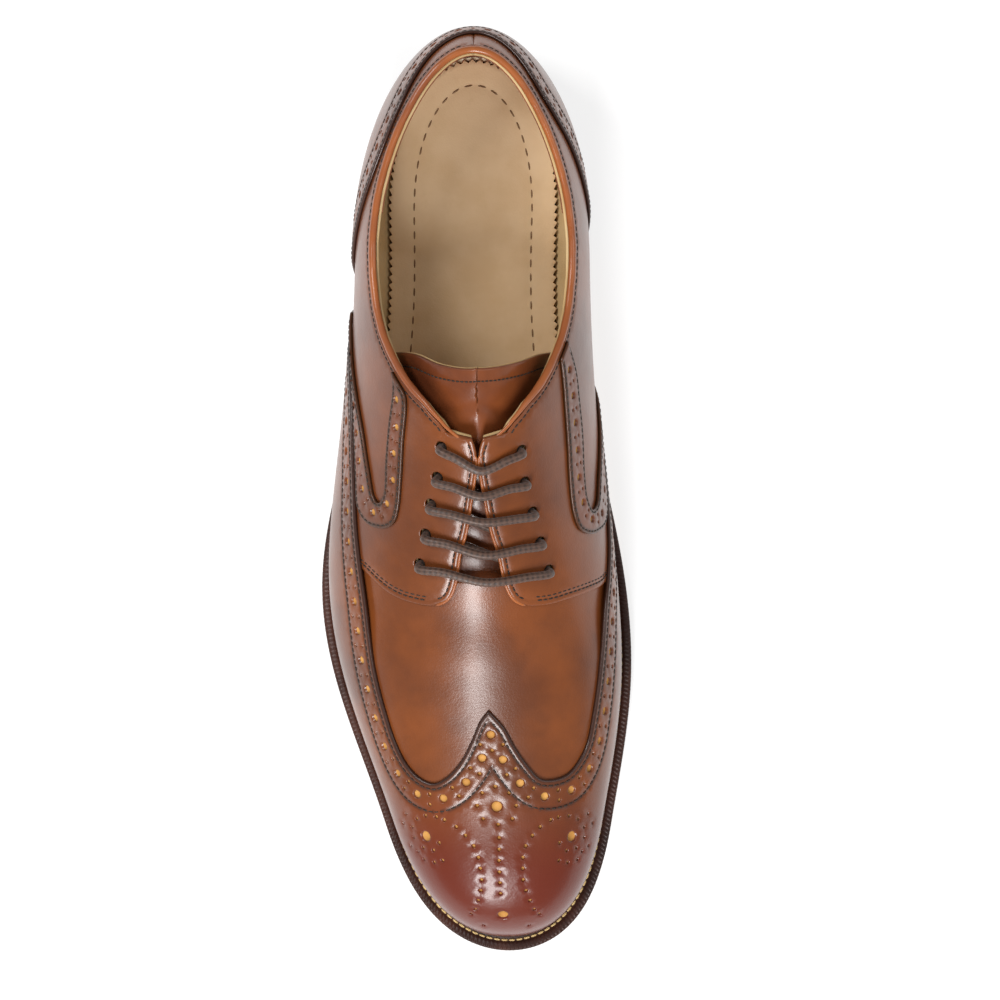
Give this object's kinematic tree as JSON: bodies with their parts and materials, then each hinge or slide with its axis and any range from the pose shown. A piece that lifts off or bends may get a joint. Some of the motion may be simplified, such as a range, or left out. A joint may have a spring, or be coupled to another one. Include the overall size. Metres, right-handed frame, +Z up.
{
  "type": "derby shoe",
  "caption": "Right leather derby shoe with a wing toe cap, punched decoration, open lacing, a welted sole and a stacked heel.",
  "frame": {"origin": "on the ground, under the middle of the sole's plan", "axes": "+X towards the medial side, +Y towards the heel (the toe points along -Y), +Z up"},
  "size_m": [0.1031, 0.3032, 0.0967],
  "materials": {
    "upper_leather": "smooth tan calf, burnished",
    "wing_leather": "smooth calf, burnished darker at the toe",
    "tongue_leather": "smooth tan calf",
    "bead_leather": "rolled and polished",
    "lining_leather": "unfinished cream leather",
    "sock_leather": "smooth unfinished leather",
    "insole_leather": "plain",
    "sole_leather": "dyed, fine ribbed edge",
    "welt_leather": "dyed, ribbed",
    "heel_leather": "dyed and waxed edge",
    "rubber_heel": "matte",
    "cork": "granulated cork",
    "foam": "open foam",
    "stiffener_cloth": "resin stiffened",
    "steel": "plain",
    "lace_cord": "waxed round braid",
    "lace_tip": "crimped film"
  },
  "bodies": {
    "shoe": {"top_lift": "rubber_heel", "heel_lifts": "heel_leather", "heel_nails": "steel", "outsole": "sole_leather", "welt": "welt_leather", "cork_filler": "cork", "steel_shank": "steel", "insole_board": "insole_leather", "footbed_foam": "foam", "sock_lining": "sock_leather", "vamp": "upper_leather", "wing_cap": "wing_leather", "quarter_lateral": "upper_leather", "quarter_medial": "upper_leather", "counter_foxing": "upper_leather", "facing_band_lateral": "upper_leather", "facing_band_medial": "upper_leather", "collar_bead": "bead_leather", "toe_puff": "stiffener_cloth", "heel_stiffener": "stiffener_cloth", "vamp_lining": "lining_leather", "quarter_lining_lateral": "lining_leather", "quarter_lining_medial": "lining_leather", "lace": "lace_cord", "lace_tips": "lace_tip"},
    "tongue": {"tongue": "tongue_leather", "tongue_lining": "lining_leather"}
  },
  "joints": [
    {"name": "tongue_tilt", "type": "hinge", "parent": "shoe", "child": "tongue", "pos_m": [0.001, -0.0374, 0.054], "axis": [1, 0, 0], "range_deg": [-12, 0], "stiffness_Nm_per_rad": 0.5}
  ]
}
